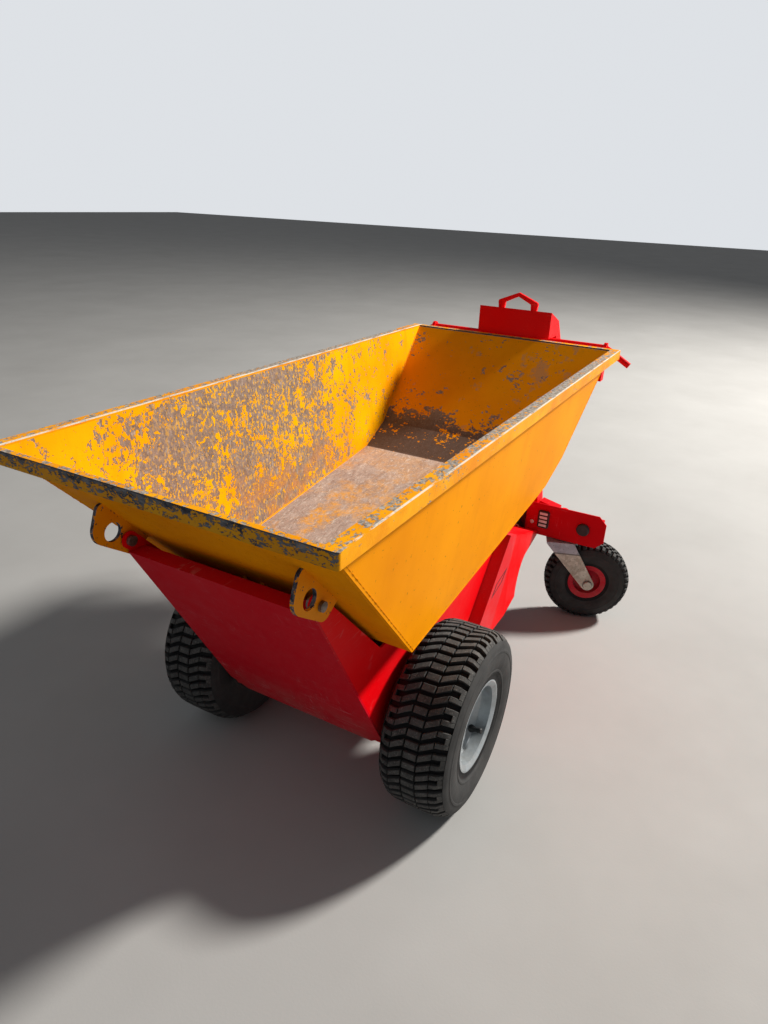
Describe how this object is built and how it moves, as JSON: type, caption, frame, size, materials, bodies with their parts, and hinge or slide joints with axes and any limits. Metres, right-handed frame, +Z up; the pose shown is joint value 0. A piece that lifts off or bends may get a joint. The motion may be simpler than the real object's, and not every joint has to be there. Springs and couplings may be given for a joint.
{
  "type": "battery-powered walk-behind site dumper with a tipping skip",
  "caption": "Walk-behind battery site dumper: steel skip tipping forward on bolts over a wedge chassis, block-tread drive wheels, swivel castors under a rear beam, console and handlebar.",
  "frame": {"origin": "on the ground, midway between the skip's front rim and the console's back, in the machine's plane of symmetry", "axes": "+X towards the dump end, +Y to the machine's left, +Z up"},
  "size_m": [1.868, 1.0974, 1.087],
  "materials": {
    "yellow_paint": "semi-gloss, scratched and worn",
    "red_paint": "semi-gloss, sun-faded and scratched",
    "black_plastic": "matt",
    "lamp": "gloss",
    "bright_steel": "machined",
    "galvanised": "galvanised, dull",
    "motor_grey": "satin",
    "battery": "matt black case",
    "rubber": "matt",
    "tyre": "matt, dusty",
    "red_plastic": "satin",
    "chrome": "polished"
  },
  "bodies": {
    "chassis": {"side_plate_left": "red_paint", "side_plate_right": "red_paint", "front_plate": "red_paint", "belly_plate": "red_paint", "rear_cover": "red_paint", "rear_housing_left": "red_paint", "rear_housing_right": "red_paint", "cross_beam": "red_paint", "castor_heads": "red_paint", "control_panel": "red_paint", "rear_gussets": "red_paint", "handlebar": "red_paint", "uprights": "red_paint", "console_post": "red_paint", "console": "red_paint", "loop_handle": "red_paint", "ram_bracket": "red_paint", "switch_block": "black_plastic", "charge_gauge": "black_plastic", "charge_socket": "black_plastic", "indicator_lamp": "lamp", "drive_axle": "bright_steel", "gear_motors": "motor_grey", "battery_block": "battery", "pivot_bolts": "bright_steel", "hopper_rests": "rubber"},
    "hopper": {"hopper_bent_sheet": "yellow_paint", "hopper_side_left": "yellow_paint", "hopper_side_right": "yellow_paint", "hopper_rim": "yellow_paint", "ear_left": "yellow_paint", "ear_right": "yellow_paint", "ram_lugs": "yellow_paint"},
    "wheel_left": {"tyre_left": "tyre", "wheel_rim_left": "galvanised", "wheel_hub_left": "motor_grey"},
    "wheel_right": {"tyre_right": "tyre", "wheel_rim_right": "galvanised", "wheel_hub_right": "motor_grey"},
    "castor_fork_left": {"castor_fork_left": "galvanised"},
    "castor_fork_right": {"castor_fork_right": "galvanised"},
    "castor_wheel_left": {"castor_rim_left": "red_plastic", "castor_tyre_left": "tyre"},
    "castor_wheel_right": {"castor_rim_right": "red_plastic", "castor_tyre_right": "tyre"},
    "ram_barrel": {"ram_barrel": "motor_grey"},
    "ram_rod": {"ram_rod": "chrome"}
  },
  "joints": [
    {"name": "hopper_tip", "type": "hinge", "parent": "chassis", "child": "hopper", "pos_m": [0.766, 0, 0.731], "axis": [0, 1, 0], "range_deg": [0, 80]},
    {"name": "ram_swing", "type": "hinge", "parent": "chassis", "child": "ram_barrel", "pos_m": [0.126, 0, 0.245], "axis": [0, -1, 0], "range_deg": [0, 22.91]},
    {"name": "ram_stroke", "type": "slide", "parent": "ram_barrel", "child": "ram_rod", "axis": [0.8575, 0, 0.5145], "range_m": [0, 0.1502]},
    {"name": "wheel_left_spin", "type": "hinge", "parent": "chassis", "child": "wheel_left", "pos_m": [0.336, 0.325, 0.228], "axis": [0, 1, 0], "continuous": true},
    {"name": "wheel_right_spin", "type": "hinge", "parent": "chassis", "child": "wheel_right", "pos_m": [0.336, -0.325, 0.228], "axis": [0, 1, 0], "continuous": true},
    {"name": "castor_left_swivel", "type": "hinge", "parent": "chassis", "child": "castor_fork_left", "pos_m": [-0.652, 0.3, 0.35], "axis": [0, 0, 1], "continuous": true},
    {"name": "castor_left_roll", "type": "hinge", "parent": "castor_fork_left", "child": "castor_wheel_left", "pos_m": [-0.68996, 0.40431, 0.146], "axis": [-0.9397, -0.342, 0], "continuous": true},
    {"name": "castor_right_swivel", "type": "hinge", "parent": "chassis", "child": "castor_fork_right", "pos_m": [-0.652, -0.3, 0.35], "axis": [0, 0, 1], "continuous": true},
    {"name": "castor_right_roll", "type": "hinge", "parent": "castor_fork_right", "child": "castor_wheel_right", "pos_m": [-0.68996, -0.40431, 0.146], "axis": [0.9397, -0.342, 0], "continuous": true}
  ],
  "couplings": [
    {"joint": "ram_swing", "follows": "hopper_tip", "ratio": 0.28581},
    {"joint": "ram_stroke", "follows": "hopper_tip", "m_per_rad": 0.10723}
  ]
}
